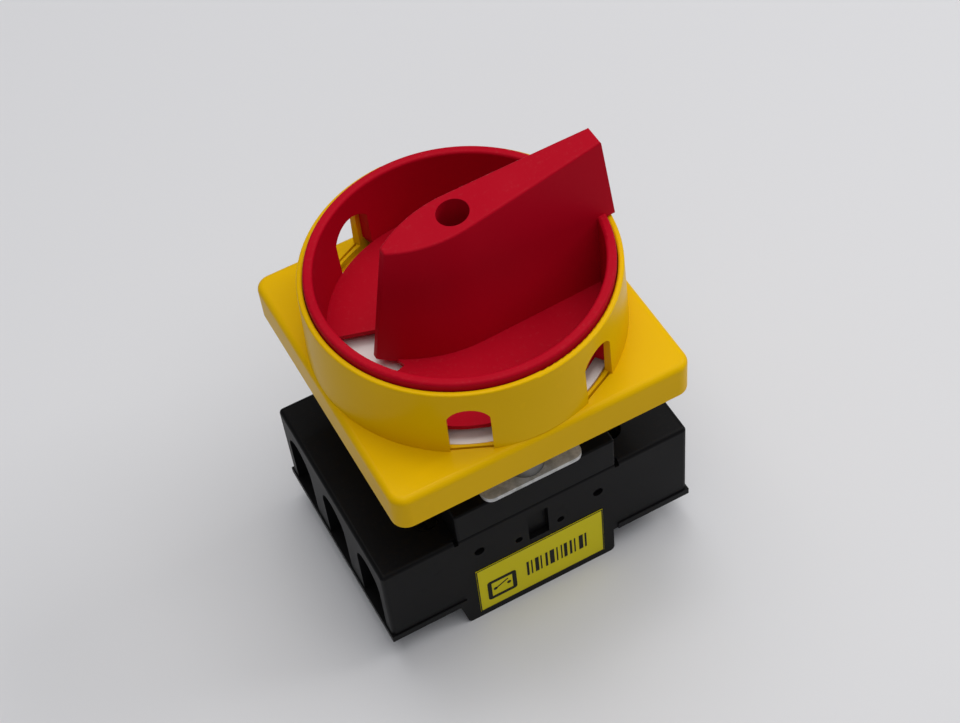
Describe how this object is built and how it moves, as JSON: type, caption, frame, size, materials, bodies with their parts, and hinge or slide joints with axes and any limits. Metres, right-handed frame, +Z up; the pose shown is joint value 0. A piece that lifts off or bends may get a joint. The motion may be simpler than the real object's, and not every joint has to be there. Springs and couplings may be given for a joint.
{
  "type": "rotary isolator switch",
  "caption": "Three-pole rotary isolator: red winged handle in a lockable yellow collar and square front plate, over a black terminal body with a rail foot.",
  "frame": {"origin": "under the handle's axis, at the level of the foot's lowest face", "axes": "+Z up along the handle's axis, out of the handle; +X along the body towards the load terminals; the printed label faces -Y; the handle's tip points to -X at OFF"},
  "size_m": [0.0668, 0.06, 0.0925],
  "materials": {
    "yellow_plastic": "fine satin moulding",
    "red_plastic": "fine matt moulding",
    "white_plastic": "satin",
    "black_plastic": "matt thermoset moulding",
    "black_latch": "satin",
    "grey_plastic": "satin",
    "nylon": "waxy",
    "seal_rubber": "matt",
    "zinc_strip": "zinc plate with a mottled, slightly iridescent passivation",
    "zinc_screws": "bright zinc plate",
    "steel_shaft": "drawn bar",
    "spring_steel": "polished strip",
    "copper": "silver-tipped copper",
    "brass_terminal": "machined",
    "label_print": "printed film"
  },
  "bodies": {
    "housing": {"front_plate": "yellow_plastic", "legend_disc": "white_plastic", "shaft_seal": "seal_rubber", "panel_gasket": "seal_rubber", "plate_screws": "zinc_screws", "spacer_sleeves": "zinc_strip", "mounting_strip": "zinc_strip", "mechanism_housing": "black_plastic", "detent_spring_front": "spring_steel", "detent_spring_back": "spring_steel", "terminal_screws": "zinc_screws", "terminal_base": "black_plastic", "base_plate": "black_plastic", "housing_screws": "zinc_screws", "rail_foot": "black_plastic", "foot_screws": "zinc_screws", "latch_spring": "spring_steel", "side_label": "label_print", "line_contact_1": "copper", "line_terminal_1": "brass_terminal", "load_contact_1": "copper", "load_terminal_1": "brass_terminal", "line_contact_2": "copper", "line_terminal_2": "brass_terminal", "load_contact_2": "copper", "load_terminal_2": "brass_terminal", "line_contact_3": "copper", "line_terminal_3": "brass_terminal", "load_contact_3": "copper", "load_terminal_3": "brass_terminal"},
    "drive": {"knob": "red_plastic", "knob_screw": "zinc_screws", "drive_shaft": "steel_shaft", "drive_rotor": "nylon"},
    "carrier": {"contact_carrier": "grey_plastic", "moving_contact_1": "copper", "moving_contact_2": "copper", "moving_contact_3": "copper", "contact_spring_1": "spring_steel", "contact_spring_2": "spring_steel", "contact_spring_3": "spring_steel"},
    "latch": {"rail_latch": "black_latch"}
  },
  "joints": [
    {"name": "knob_turn", "type": "hinge", "parent": "housing", "child": "drive", "pos_m": [0, 0, 0.06], "axis": [0, 0, 1], "range_deg": [-90, 0], "deforming": ["detent_spring_front", "detent_spring_back"]},
    {"name": "carrier_slide", "type": "slide", "parent": "housing", "child": "carrier", "axis": [0, 1, 0], "range_m": [0, 0.00461], "deforming": ["contact_spring_1", "contact_spring_2", "contact_spring_3"]},
    {"name": "rail_latch_slide", "type": "slide", "parent": "housing", "child": "latch", "axis": [0, 1, 0], "range_m": [0, 0.0022], "stiffness_N_per_m": 600, "springref_m": -0.001, "deforming": ["latch_spring"]}
  ],
  "couplings": [
    {"joint": "carrier_slide", "follows": "knob_turn", "m_per_rad": -0.0029284}
  ]
}
